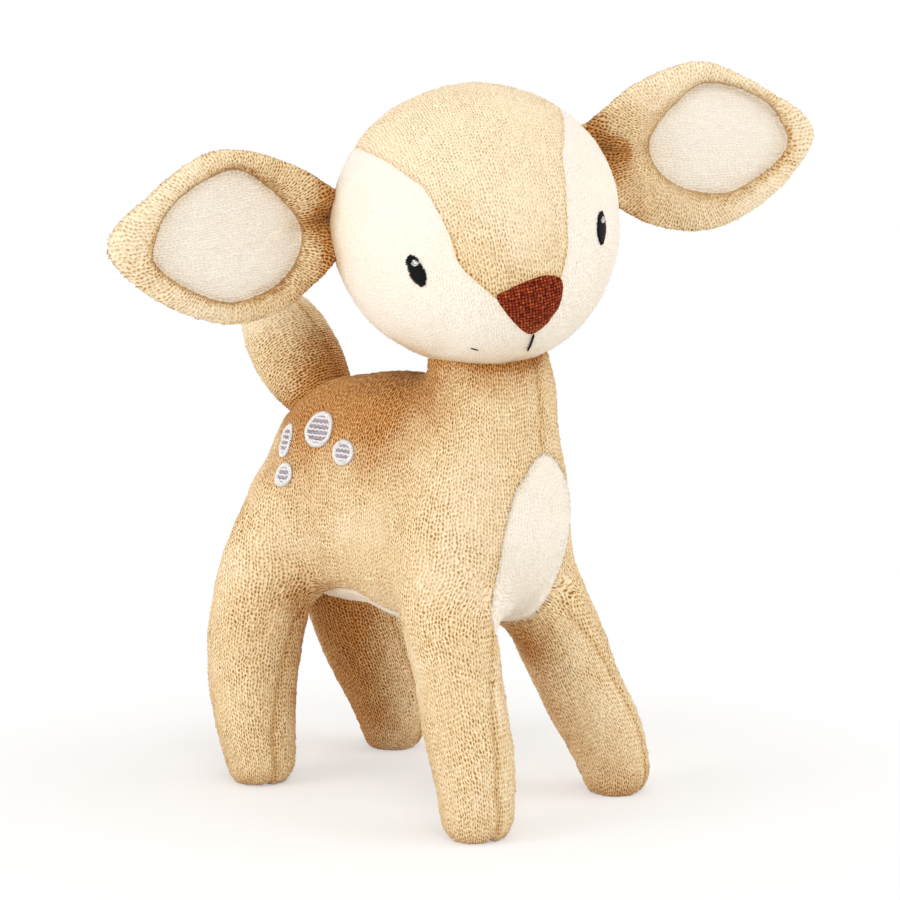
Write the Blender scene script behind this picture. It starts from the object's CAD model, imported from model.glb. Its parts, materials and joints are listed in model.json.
"""Looks of a standing plush fawn: sewn panels of short pile over stuffing, with embroidery.

Lengths are in millimetres in the fawn's own frame until a mesh is made: the origin is on the
floor midway between its feet, it faces -Y and its left side is on +X. Each skin is meshed from
a smooth field, cut along its seams into panels, drawn in at the seams and given its pile.
"""

import json
import math
from functools import reduce
from itertools import product

import bpy
import numpy as np
from mathutils import Matrix, Vector
from mathutils.bvhtree import BVHTree
from mathutils.kdtree import KDTree


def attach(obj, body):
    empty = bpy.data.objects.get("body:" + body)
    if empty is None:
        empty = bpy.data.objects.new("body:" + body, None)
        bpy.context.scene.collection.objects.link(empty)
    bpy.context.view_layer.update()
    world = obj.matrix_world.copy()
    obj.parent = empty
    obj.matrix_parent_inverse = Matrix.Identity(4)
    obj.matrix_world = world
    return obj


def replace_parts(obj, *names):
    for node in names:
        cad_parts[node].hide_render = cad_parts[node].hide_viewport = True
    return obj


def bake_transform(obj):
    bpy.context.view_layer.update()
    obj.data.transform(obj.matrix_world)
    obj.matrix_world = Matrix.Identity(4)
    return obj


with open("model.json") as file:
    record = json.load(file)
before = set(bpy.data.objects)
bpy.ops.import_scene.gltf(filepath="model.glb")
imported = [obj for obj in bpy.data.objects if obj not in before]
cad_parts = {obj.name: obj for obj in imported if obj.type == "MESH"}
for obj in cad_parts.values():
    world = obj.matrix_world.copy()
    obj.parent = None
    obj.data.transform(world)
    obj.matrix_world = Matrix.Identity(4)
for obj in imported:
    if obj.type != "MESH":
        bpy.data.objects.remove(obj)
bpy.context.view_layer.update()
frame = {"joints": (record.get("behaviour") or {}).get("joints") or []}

MM = 0.001
SIDES = {"right": -1.0, "left": 1.0}
JOINTS = {joint["name"]: np.array(joint["pos_m"]) / MM for joint in frame["joints"] if "pos_m" in joint}

# The neck joint's place in the fawn's own frame gives where that frame lies in the CAD's
NECK_PIVOT = np.array((0.0, -20.0, 110.2))
OFFSET = JOINTS["neck_bend"] - NECK_PIVOT

# How finely skins are meshed, and the boxes that hold their fields
PITCH = 1.8
SUBDIVISIONS = 2
SETTLE_ROUNDS = 4
SLOPE_STEP = 0.05
EAR_PITCH = 0.5
SNAP_SHARE = 0.2
BODY_BOX = ((-58.0, -68.0, -3.0), (58.0, 86.0, 162.0))
TAIL_BOX = ((-20.0, 35.0, 105.0), (20.0, 102.0, 178.0))
HEAD_REACH = 62.0

# Torso: centre and radii of the forms that merge into it
TORSO_FORMS = [
    ((0.0, -15.5, 90.7), (28.5, 29.5, 34.0)),
    ((0.0, 14.0, 96.4), (27.0, 47.0, 39.6)),
    ((0.0, 39.5, 95.2), (24.5, 28.5, 36.6)),
    ((0.0, 2.0, 79.0), (26.0, 25.0, 22.5)),
]
TORSO_MERGE = 7.0

# Limbs: places of the axis and the radius there
NECK_ROWS = [
    (0.0, -20.0, 100.0, 22.0), (0.0, -21.0, 112.0, 21.0), (0.0, -22.2, 125.0, 20.8),
    (0.0, -22.2, 134.0, 19.6), (0.0, -20.5, 143.0, 18.4), (0.0, -19.5, 156.0, 18.0),
]
LEG_ROWS = {
    "front": [
        (18.0, -17.0, 86.0, 13.5), (21.6, -21.0, 70.0, 14.2), (25.4, -29.0, 53.0, 13.9),
        (29.4, -37.5, 34.0, 13.2), (33.2, -45.0, 19.5, 12.6), (35.6, -49.0, 7.8, 11.2),
    ],
    "rear": [
        (14.0, 52.0, 88.0, 15.5), (18.0, 58.0, 69.0, 16.4), (23.2, 59.2, 52.0, 16.0),
        (28.2, 56.6, 35.0, 14.8), (31.6, 52.2, 20.0, 13.0), (32.7, 48.8, 7.8, 11.0),
    ],
}

# How far out and back each foot stands from its row, fading to nothing at the height below
FOOT_SHIFTS = {
    "front_right": (4.4, -1.5), "front_left": (-1.8, 2.2),
    "rear_right": (0.0, 0.0), "rear_left": (0.0, 0.0),
}
FOOT_SHIFT_TOP = 62.0
LEG_SEAM_OFFSETS = {
    # heights, and how far outside the leg's axis its front seam lies there
    "front": ((9.0, 17.0, 34.0, 46.0, 55.0, 61.0), (2.5, 4.0, 3.3, 1.2, -2.8, -5.5)),
    "rear": ((8.0, 16.0, 31.0, 44.0, 53.0, 60.0), (3.5, 4.5, 2.9, 1.0, -1.2, -4.0)),
}
NECK_MERGE = 13.0
LEG_MERGES = {"front": 13.0, "rear": 9.0}

# Where a leg counts: how far past the body's middle, along the body, and how high
LEG_PAST_MIDDLE = 18.0
LEG_BOUNDS = {"front": (-np.inf, 25.0), "rear": (5.0, np.inf)}
LEG_TOP = 125.0
LEG_MIDDLE = 15.0
LOWEST = 0.05

# Tail: distance along it from its joint, and the radius there
TAIL_ROWS = [
    (-7.0, 8.5), (3.0, 10.6), (12.0, 13.0), (20.0, 13.8), (29.0, 12.8), (37.0, 10.2), (43.0, 7.0),
]
TAIL_RISE = math.radians(50)
TAIL_WIDTH_SHARE = 1.10
TAIL_REACH = 4.0
TAIL_BEND = (3.0, 13.0)

# Head, in its own frame with the face along -Y
HEAD_CENTRE = np.array((0.0, -15.5, 184.5))
HEAD_TURNS = (math.radians(-34.4), math.radians(2.9), math.radians(-11.9))
HEAD_RADII = np.array((45.7, 44.9, 44.0))
MUZZLE_LENGTH = 8.7
MUZZLE_DROP = math.radians(27.4)
MUZZLE_SPREAD = math.radians(24.7)
HEAD_SEAM_BACK = 8.5
HEAD_SEAM_LEAN = math.radians(10)
BLAZE_ROWS = [
    # height, half-width of the sandy blaze
    (-60.0, -20.0), (-27.0, -6.0), (-23.0, 0.0), (-19.0, 6.5), (-15.5, 10.6), (-12.3, 12.9),
    (-7.0, 16.8), (-2.4, 18.7), (5.2, 19.3), (11.0, 20.2), (19.5, 22.3), (22.5, 24.6),
    (26.3, 27.4), (29.3, 30.2), (33.0, 34.5), (44.0, 46.0), (60.0, 60.0),
]
# How far in the blaze's left edge is drawn, at which height, and over how much of it
BLAZE_LEFT_TUCK = (2.4, -3.0, 8.5)
NOSE_OUTLINE = [
    (-9.9, -15.6), (-6.5, -14.0), (-2.5, -12.9), (1.5, -12.3), (5.4, -12.1), (9.5, -13.4), (11.5, -16.2),
    (9.9, -22.6), (6.6, -26.4), (4.0, -28.8), (0.6, -30.2), (-2.4, -28.6), (-6.6, -23.0),
]
NOSE_RAISE = 0.9
HEAD_NAP_START = (0.0, -60.0, -22.0)

# Embroidery on the face, in the head's frame
EYE_PLACE = (29.7, -4.3)
EYE_HALF_HEIGHT = 4.9
EYE_HALF_WIDTH = 1.9
EYE_SLANT = math.radians(12)
EYE_THREADS = 17
EYE_LIFT = 0.30
GLINT_RISE = 2.2
GLINT_HALF_WIDTH = 1.1
GLINT_PITCH = 0.46
GLINT_ROWS = (0.6, 1.0, 0.75, 0.4)
GLINT_LIFT = 0.85
MOUTH_TOP = -30.2
MOUTH_LENGTH = 6.0
SMILE_PLACE = (16.2, -32.2)
SMILE_LENGTH = 2.2
THREAD_RADIUS = 0.38
FINE_THREAD_RADIUS = 0.26

# Ears, in their own plane: distance along the ear from its joint, then up across it
EAR_LIFTS = {"right": math.radians(2.0), "left": math.radians(-10.5)}
EAR_SWEEP = math.radians(10)
EAR_OUTLINE = [
    (-4.0, 6.5), (1.0, 9.5), (5.5, 13.3), (12.0, 18.8), (20.0, 23.6), (30.0, 27.6), (39.0, 28.7),
    (47.0, 26.4), (55.0, 22.4), (62.0, 18.0), (68.0, 14.6), (73.0, 10.6), (75.8, 5.2), (74.4, -0.8),
    (68.6, -8.8), (61.2, -15.8), (54.0, -20.8), (46.0, -24.6), (38.0, -26.0), (28.0, -25.2),
    (19.0, -22.4), (11.0, -17.6), (5.0, -12.8), (1.0, -9.5), (-4.0, -6.5),
]
PATCH_OUTLINE = [
    (62.0, -1.0), (59.0, 7.0), (54.0, 13.5), (45.0, 18.6), (34.0, 21.2), (28.0, 19.2), (21.0, 12.6),
    (15.2, 4.5), (13.4, -2.0), (16.6, -10.0), (24.0, -16.0), (34.0, -18.6), (42.0, -18.2),
    (50.0, -14.0), (57.5, -8.0),
]
PATCH_CENTRE = (37.0, 1.0)
PATCH_SCALES = {"right": (1.0, 1.0), "left": (0.93, 0.88)}
PATCH_SHIFTS = {"right": (0.0, 0.0), "left": (7.0, 2.6)}
EAR_RIM_HEIGHT = 4.2
EAR_BACK_HEIGHT = 4.6
EAR_BACK_ROUND = 7.0
PATCH_CROWN = 0.5
PINCH_LENGTH = 17.0
PINCH_WIDTH = 3.4
PINCH_DEPTH = 0.95
EAR_ROOT_HEIGHT = 5.2
EAR_ROOT_ROUND = 2.2
EAR_ROOT_BACK = 2.2
EAR_CURL = 5.0
EAR_CUP = 2.0
EAR_BOW = 3.0
EAR_MIDDLE = 34.0
EAR_BEND_END = 15.0
CROWD_REACH = 3.0

# Bib and belly panels
BIB_CENTRE = (-45.5, 84.2)
BIB_TILT = math.radians(22)
BIB_OUTLINE = [
    (0.0, 26.2), (-4.7, 24.2), (-8.2, 20.6), (-12.3, 15.8), (-14.6, 9.6), (-15.7, 3.2), (-15.8, -3.3),
    (-15.8, -9.8), (-16.4, -16.0), (-16.8, -22.5), (-15.5, -30.0), (-10.0, -36.0), (-2.0, -38.5),
    (6.0, -34.0), (10.0, -25.0), (13.6, -16.5), (17.6, -9.0), (19.8, -2.0), (19.6, 5.0), (17.6, 12.5),
    (12.6, 19.5), (6.6, 24.6),
]
BIB_DEEPEST = -12.0
BELLY_CENTRE = (22.0, 0.0)
BELLY_HALF_LENGTH = 26.0
BELLY_HALF_WIDTH = 14.2
BELLY_TOP = 80.0

# Where the neck and legs start to bend, and how far on they follow their own body
NECK_CUT = np.array((0.0, -20.0, 127.5))
NECK_CUT_LEAN = math.radians(19)
NECK_BEND_LENGTH = 15.0
NECK_REACH = 4.0
LEG_CUT_DROPS = {"front": 12.5, "rear": 12.0}
LEG_BEND_LENGTH = 22.0

# Seams on the body from each leg's front seam up to the bib or the belly
SEAM_LINES = {
    "front": [(22.1, -44.6, 55.5), (20.4, -41.5, 61.1), (16.6, -38.5, 63.5)],
    "rear": [(19.0, 43.6, 54.2), (17.5, 43.0, 56.1), (10.3, 31.1, 64.3)],
}

# Embroidered spots on the haunches: place along and up the body, half-length and half-height
SPOTS = [
    (31.7, 117.3, 6.2, 5.5), (18.4, 111.2, 4.8, 3.9), (44.1, 101.8, 3.6, 3.7), (47.5, 112.3, 3.4, 5.2),
]
SPOT_BORDER = 1.5
SPOT_BORDER_PITCH = 0.62
SPOT_BORDER_SLANT = 0.16
SPOT_THREAD_PITCH = 0.6
SPOT_THREAD_RADIUS = 0.40
SPOT_BORDER_RADIUS = 0.33
SPOT_LIFT = 0.25
SPOT_TOP = 0.66
SPOT_START = 60.0
STITCH_ARCH = 0.35

# Seams and stuffing
SEAM_DEPTHS = {"body": 0.75, "tail": 0.35, "head": 0.05, "ear": 0.25}
SEAM_WIDTH = 1.0
SEAM_REACH = 9.0
PUFF_HEIGHTS = {"body": 0.5, "tail": 0.5, "head": 0.2, "ear": 0.3}
PUFF_REACH = 5.0
FLANGE = 1.6
LUMP_SIZES = [(16.0, 0.45), (6.0, 0.22)]
TUFT_SIZES = [(1.5, 0.20), (0.9, 0.10)]
CREAM_TUFT_SHARE = 0.55
CREAM_PANELS = (
    "chest_bib", "belly_panel", "cheek_right", "cheek_left", "ear_right_inner", "ear_left_inner",
)

# The knit: distances between its wales and rows, and each dash's half-width and half-length in them
WALE_PITCH = 0.88
ROW_PITCH = 1.40
DASH_HALF = (0.17, 0.31)
WEAVE_PITCH = 0.95

# How the cloth wraps: the body's ends and the round it makes there, and the rounds of legs and tail
BODY_WRAP = (-20.0, 45.0, 25.0)
LEG_PILE_RADIUS = 14.0
LEG_PILE_TOP = 66.0
TAIL_PILE_RADIUS = 12.0
EAR_PILE_RADIUS = 24.0

SANDY = {
    "base": (0.765, 0.565, 0.312), "tip": (0.925, 0.775, 0.530), "halo": (0.600, 0.360, 0.130),
    "dash": (0.250, 0.115, 0.028), "shut": (0.60, 0.310, 0.060), "pale": (0.935, 0.800, 0.590),
}
CREAM = {
    "base": (0.905, 0.835, 0.725), "tip": (0.935, 0.880, 0.800), "halo": (0.840, 0.715, 0.545),
    "dash": (0.640, 0.480, 0.290), "shut": (0.80, 0.66, 0.46), "pale": (0.935, 0.880, 0.800),
}
RUSSET = (0.250, 0.014, 0.005)
RUSSET_DEEP = (0.045, 0.003, 0.002)
RUSSET_TIP = (0.600, 0.140, 0.035)
BLACK = (0.004, 0.0035, 0.004)
WHITE = (0.90, 0.89, 0.88)
LILAC = (0.44, 0.37, 0.45)
PURE_WHITE = (1.0, 1.0, 1.0)

# How shut in a place is: rays cast, how far they count, and how far apart places are tried
SHADE_RAYS = 28
SHADE_REACH = 62.0
SHADE_PITCH = 3.0
SHADE_START = 1.5
FLOOR_SHADE = 0.30

# Tufts of pile: two flat rings, as share of the length and of the radius, and a tip
TUFT_RINGS = ((0.0, 1.0), (0.55, 0.8))
TUFT_FACES = np.array((
    (0, 1, 4), (0, 4, 3), (1, 2, 5), (1, 5, 4), (2, 0, 3), (2, 3, 5), (3, 4, 6), (4, 5, 6), (5, 3, 6),
))
TUFT_RADIUS = 0.20
TUFT_BREADTH = 1.15
TUFT_DEPTH = 0.45
TUFT_SHADING = 0.3
TUFT_SEAM_SHARE = 0.25

# Tufts over the panels: how many to a square millimetre, and how they stand
TUFT_DENSITY = 0.55
MOST_FACES = 188_000
TUFT_LENGTHS = (0.7, 1.25)
TUFT_RISE = 0.42
TUFT_LEAN = 0.85
TUFT_STRAY = 0.22
TUFT_DROOP = 0.30
TUFT_SINK = 0.12
BARE = ("nose_patch",)

# Tufts that lean over a panel's seams
FRINGED = ("chest_bib",)
FRINGE_SPACING = 0.42
FRINGE_LENGTHS = (0.9, 1.7)
FRINGE_SETBACK = 1.1

# Where the pile lies so that it looks deeper (above 0) or paler (below 0): place, reach, how much
NAP_PATCHES = [
    ((-20.0, 8.0, 123.0), 26.0, 0.22), ((-10.0, 30.0, 132.0), 28.0, 0.27),
    ((-20.0, 40.0, 120.0), 22.0, 0.16), ((-27.0, 60.0, 86.0), 9.0, 0.20),
    ((-20.0, 66.0, 70.0), 12.0, 0.10), ((-4.0, 62.0, 132.0), 12.0, 0.22),
    ((-8.0, 82.0, 152.0), 24.0, -0.25), ((-6.0, 66.0, 136.0), 14.0, 0.10),
    ((0.0, 58.0, 116.0), 14.0, 0.14), ((-10.0, -24.0, 146.0), 22.0, 0.08),
    ((12.0, 50.0, 45.0), 19.0, 0.16), ((20.0, 56.0, 22.0), 22.0, 0.24),
    ((12.0, -26.0, 48.0), 14.0, 0.14), ((-26.0, 52.0, 104.0), 12.0, 0.04),
    ((-24.0, 18.0, 76.0), 13.0, -0.05), ((-24.0, 62.0, 40.0), 12.0, 0.05),
]
HEAD_PALE = 0.15
EAR_PALE = {"right": 0.10, "left": 0.16}
TAIL_PALE = 0.10
ROOT_SHADE = 0.22
PINCH_SHADE = 0.28

# Stuffing: how full the pieces are, and which panels also stand for a filling
FILLINGS = {
    "body_side_right": "body_filling", "neck_right": "neck_filling",
    "head_back_right": "head_filling", "tail_right": "tail_filling",
    "ear_right_back": "ear_right_filling", "ear_left_back": "ear_left_filling",
} | {f"leg_{name}_outer": f"leg_{name}_filling" for name in FOOT_SHIFTS}

# Studio: the floor is lit near the fawn and fades into the white world
WORLD_LEVEL = 0.61
SKY_COLOUR = (1.0, 0.985, 0.96)
FLOOR_COLOUR = (0.93, 0.92, 0.91)
FLOOR_REACH = 3.0
FLOOR_FADE = (0.09, 0.20)
FLOOR_LIFT = 0.42
LAMP_TARGET = (0.0, 0.0, 0.11)
LAMPS = (
    # name, place in metres, size, power, colour
    ("key", (-0.95, -1.05, 1.10), 0.8, 6.2, (1.0, 0.975, 0.94)),
    ("side", (-1.35, 0.55, 0.55), 0.8, 9.8, (1.0, 0.98, 0.95)),
    ("fill", (0.75, -1.15, 0.75), 1.2, 8.2, (1.0, 0.98, 0.96)),
    ("top", (0.0, 0.1, 1.5), 1.2, 3.5, (1.0, 1.0, 1.0)),
)

CAMERA_AZIMUTH = math.radians(-49.0)
CAMERA_ELEVATION = math.radians(7.5)
CAMERA_DISTANCE = 900.0
CAMERA_LENS = 111.6
CAMERA_TARGET_HEIGHT = 110.0
TARGET_PIXEL = (438.0, 453.5)
IMAGE_SIZE = 900.0
SENSOR = 36.0


def rotation(angle, axis):
    """A turn about one axis, as a numpy matrix."""
    return np.array(Matrix.Rotation(angle, 3, axis))


HEAD_TURN = rotation(HEAD_TURNS[0], "Z") @ rotation(HEAD_TURNS[1], "X") @ rotation(HEAD_TURNS[2], "Y")


def smooth_step(low, high, value):
    t = np.clip((value - low) / (high - low), 0.0, 1.0)
    return t * t * (3 - 2 * t)


def unit(vectors):
    return vectors / np.maximum(np.linalg.norm(vectors, axis=-1, keepdims=True), 1e-6)


def without(vectors, ways):
    """What is left of vectors once their parts along unit ways are taken out."""
    return vectors - ways * (vectors * ways).sum(axis=1)[:, None]


def gather(index, values, count):
    """For each of count points, the sum of the vectors whose index names it."""
    return np.stack([np.bincount(index, column, count) for column in values.T], axis=1)


def edges_of(faces):
    """The edges of all faces, as pairs of points."""
    sides = faces.shape[1]
    return np.concatenate([faces[:, (k, (k + 1) % sides)] for k in range(sides)])


def lattice_noise(points, size, seed):
    """Smooth random values from -1 to 1, one swing every size or so."""
    place = points / size + seed * 17.31
    cell = np.floor(place).astype(np.int64)
    t = place - cell
    t = t * t * (3 - 2 * t)
    total = np.zeros(len(points))
    for corner in product((0, 1), repeat=3):
        x, y, z = (cell + corner).T
        mixed = (x * 73856093) ^ (y * 19349663) ^ (z * 83492791) ^ (seed * 2654435761)
        mixed = (mixed ^ (mixed >> 13)) * 1274126177
        value = ((mixed ^ (mixed >> 16)) & 0xFFFF) / 32767.5 - 1.0
        total += value * np.prod(np.where(corner, t, 1 - t), axis=1)
    return total


def smooth_curve(rows, count, closed=False):
    """Points on a smooth curve through the rows, count for each of its spans."""
    rows = np.asarray(rows, float)
    before, after = (rows[-1:], rows[:2]) if closed else (rows[:1], rows[-1:])
    rows = np.concatenate((before, rows, after))
    t = (np.arange(count) / count)[:, None]
    spans = []
    for a, b, c, d in zip(rows, rows[1:], rows[2:], rows[3:]):
        bend, twist = a * 2 - b * 5 + c * 4 - d, b * 3 - a - c * 3 + d
        spans.append((b * 2 + (c - a) * t + bend * t ** 2 + twist * t ** 3) / 2)
    return np.concatenate(spans if closed else spans + [after])


def outline_distance(places, outline):
    """Signed distance of 2-D places to a closed outline: positive inside."""
    best = np.full(len(places), np.inf)
    inside = np.zeros(len(places), bool)
    for start, end in zip(outline, np.roll(outline, -1, axis=0)):
        run = end - start
        t = np.clip((places - start) @ run / (run @ run), 0.0, 1.0)
        best = np.minimum(best, np.linalg.norm(places - start - t[:, None] * run, axis=1))
        level = (start[1] > places[:, 1]) != (end[1] > places[:, 1])
        rise = end[1] - start[1] if end[1] != start[1] else 1.0
        inside ^= level & (places[:, 0] < run[0] * (places[:, 1] - start[1]) / rise + start[0])
    return np.where(inside, best, -best)


def merge(first, second, width):
    """Union of two fields with a fillet."""
    t = np.clip(0.5 + 0.5 * (second - first) / width, 0.0, 1.0)
    return second * (1 - t) + first * t - width * t * (1 - t)


def ellipsoid(points, centre, radii):
    scaled = (points - centre) / radii
    near = np.linalg.norm(scaled, axis=1)
    return near * (near - 1) / np.maximum(np.linalg.norm(scaled / radii, axis=1), 1e-6)


def limb(points, rows):
    """Distance to a limb whose rows give its axis and its radius."""
    best = np.full(len(points), np.inf)
    for start, end in zip(rows, rows[1:]):
        run = end[:3] - start[:3]
        t = np.clip((points - start[:3]) @ run / (run @ run), 0.0, 1.0)
        radius = start[3] + (end[3] - start[3]) * t
        best = np.minimum(best, np.linalg.norm(points - start[:3] - t[:, None] * run, axis=1) - radius)
    return best


def make_leg(end, side):
    """A leg at the front or rear end and on one side: its axis with radii, and its hinge."""
    name = f"{end}_{side}"
    rows = smooth_curve(LEG_ROWS[end], 3)
    out, forward = FOOT_SHIFTS[name]
    low = np.clip(1 - rows[:, 2] / FOOT_SHIFT_TOP, 0.0, 1.0)
    rows[:, 0] = SIDES[side] * (rows[:, 0] + out * low)
    rows[:, 1] += forward * low
    return {"end": end, "side": SIDES[side], "rows": rows, "pivot": JOINTS[f"leg_{name}_swing"] - OFFSET}


LEGS = {f"{end}_{side}": make_leg(end, side) for end in LEG_ROWS for side in SIDES}
NECK_CURVE = smooth_curve(NECK_ROWS, 3)
BIB_CURVE = smooth_curve(BIB_OUTLINE, 4, True)
NOSE_CURVE = smooth_curve(NOSE_OUTLINE, 4, True)
TAIL_ROOT = JOINTS["tail_wag"] - OFFSET
TAIL_WAY = np.array((0.0, math.cos(TAIL_RISE), math.sin(TAIL_RISE)))
TAIL_CURVE = np.array([
    (*(TAIL_ROOT + TAIL_WAY * along), radius) for along, radius in smooth_curve(TAIL_ROWS, 3)
])


def leg_axis(leg, heights):
    """Places on a leg's axis at the heights given."""
    rows = leg["rows"][np.argsort(leg["rows"][:, 2])]
    return np.stack([np.interp(heights, rows[:, 2], rows[:, k]) for k in range(3)], axis=-1)


def body_field(points):
    """Distance to the torso, neck and legs, merged."""
    forms = [ellipsoid(points, centre, radii) for centre, radii in TORSO_FORMS]
    field = reduce(lambda first, second: merge(first, second, TORSO_MERGE), forms)
    field = merge(field, limb(points, NECK_CURVE), NECK_MERGE)
    for leg in LEGS.values():
        low, high = LEG_BOUNDS[leg["end"]]
        near = (leg["side"] * points[:, 0] > -LEG_PAST_MIDDLE) & (points[:, 2] < LEG_TOP)
        near &= (points[:, 1] > low) & (points[:, 1] < high)
        field[near] = merge(field[near], limb(points[near], leg["rows"]), LEG_MERGES[leg["end"]])
    return np.maximum(field, -points[:, 2])


def to_head(points):
    return (points - HEAD_CENTRE) @ HEAD_TURN


def from_head(points):
    return np.asarray(points) @ HEAD_TURN.T + HEAD_CENTRE


def head_field(points):
    """Distance to the head."""
    local = to_head(points)
    far = np.maximum(np.linalg.norm(local, axis=1), 1e-6)
    way = local / far[:, None]
    muzzle = np.array((0.0, -math.cos(MUZZLE_DROP), -math.sin(MUZZLE_DROP)))
    spread = np.arccos(np.clip(way @ muzzle, -1.0, 1.0)) / MUZZLE_SPREAD
    return far - 1 / np.linalg.norm(way / HEAD_RADII, axis=1) - MUZZLE_LENGTH * np.exp(-spread ** 2 / 2)


def tail_field(points):
    return limb(points / (TAIL_WIDTH_SHARE, 1.0, 1.0), TAIL_CURVE)


class Skin:
    """A skin's points, triangles and panel names, which can be cut along seams."""

    def __init__(self, points, triangles, panel):
        self.points = points
        self.triangles = triangles
        self.names = [panel]
        self.panels = np.zeros(len(triangles), int)

    def number(self, name):
        if name not in self.names:
            self.names.append(name)
        return self.names.index(name)

    def split(self, field, panel, below, above):
        """Cut one panel where the field crosses zero, and name the two sides."""
        chosen = self.panels == self.number(panel)
        corners = self.triangles[chosen]
        used = np.unique(corners)
        values = np.full(len(self.points), np.nan)
        values[used] = field(self.points[used])
        length = np.linalg.norm(self.points[corners[:, 0]] - self.points[corners[:, 1]], axis=1).mean()
        signs = np.zeros(len(self.points), int)
        signs[used] = np.sign(np.where(np.abs(values[used]) < SNAP_SHARE * length, 0.0, values[used]))
        found = signs[corners]
        crossing = np.stack([found[:, k] * found[:, (k + 1) % 3] < 0 for k in range(3)], axis=1)
        total = crossing.sum(axis=1)
        pieces = [corners[total == 0]]
        edges = np.concatenate([corners[crossing[:, k]][:, (k, (k + 1) % 3)] for k in range(3)])
        if len(edges):
            edges = np.unique(np.sort(edges, axis=1), axis=0)
            first, second = values[edges[:, 0]], values[edges[:, 1]]
            share = (first / (first - second))[:, None]
            added = self.points[edges[:, 0]] * (1 - share) + self.points[edges[:, 1]] * share
            base = len(self.points)
            self.points = np.concatenate((self.points, added))
            signs = np.concatenate((signs, np.zeros(len(added), int)))
            keys = edges[:, 0] * base + edges[:, 1]

            def middle(a, b):
                return base + np.searchsorted(keys, np.minimum(a, b) * base + np.maximum(a, b))

            for k in range(3):
                turned = corners[:, (k, (k + 1) % 3, (k + 2) % 3)]
                a, b, c = turned[(total == 2) & crossing[:, k] & crossing[:, (k + 2) % 3]].T
                ab, ca = middle(a, b), middle(c, a)
                pieces += [np.stack(made, axis=1) for made in ((a, ab, ca), (ab, b, c), (ab, c, ca))]
                a, b, c = turned[(total == 1) & crossing[:, (k + 1) % 3]].T
                bc = middle(b, c)
                pieces += [np.stack(made, axis=1) for made in ((a, b, bc), (a, bc, c))]
        made = np.concatenate(pieces)
        numbers = np.where(signs[made].sum(axis=1) > 0, self.number(above), self.number(below))
        self.triangles = np.concatenate((self.triangles[~chosen], made))
        self.panels = np.concatenate((self.panels[~chosen], numbers))

    def drop(self, panel):
        keep = self.panels != self.number(panel)
        self.triangles, self.panels = self.triangles[keep], self.panels[keep]

    def normals(self):
        """Smooth normals at the points."""
        a, b, c = self.points[self.triangles].transpose(1, 0, 2)
        faces = np.cross(b - a, c - a)
        return unit(sum(gather(corner, faces, len(self.points)) for corner in self.triangles.T))

    def touched(self, panels):
        """Which points belong to any of the panels."""
        found = np.zeros(len(self.points), bool)
        numbers = [number for number, name in enumerate(self.names) if name in panels]
        found[self.triangles[np.isin(self.panels, numbers)].ravel()] = True
        return found

    def seam_points(self, cloths):
        """Which points lie where one cloth meets another: cloths names each panel's cloth."""
        names = [cloths.get(name, name) for name in self.names]
        cloth = np.array([names.index(name) for name in names])[self.panels]
        low = np.full(len(self.points), len(names))
        high = np.full(len(self.points), -1)
        for corner in self.triangles.T:
            np.minimum.at(low, corner, cloth)
            np.maximum.at(high, corner, cloth)
        return high > np.where(low == len(names), high, low)

    def seam_distance(self, seams, lines):
        """Distance from each point to the nearest seam, along the skin, and to any other lines."""
        edges = np.unique(np.sort(edges_of(self.triangles), axis=1), axis=0)
        length = np.linalg.norm(self.points[edges[:, 0]] - self.points[edges[:, 1]], axis=1)
        distance = np.where(seams, 0.0, SEAM_REACH)
        for line in lines:
            rows = np.concatenate((line, np.zeros((len(line), 1))), axis=1)
            distance = np.minimum(distance, limb(self.points, rows))
        for _ in range(math.ceil(SEAM_REACH / length.mean())):
            for near, far in ((0, 1), (1, 0)):
                np.minimum.at(distance, edges[:, near], distance[edges[:, far]] + length)
        return distance


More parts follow.
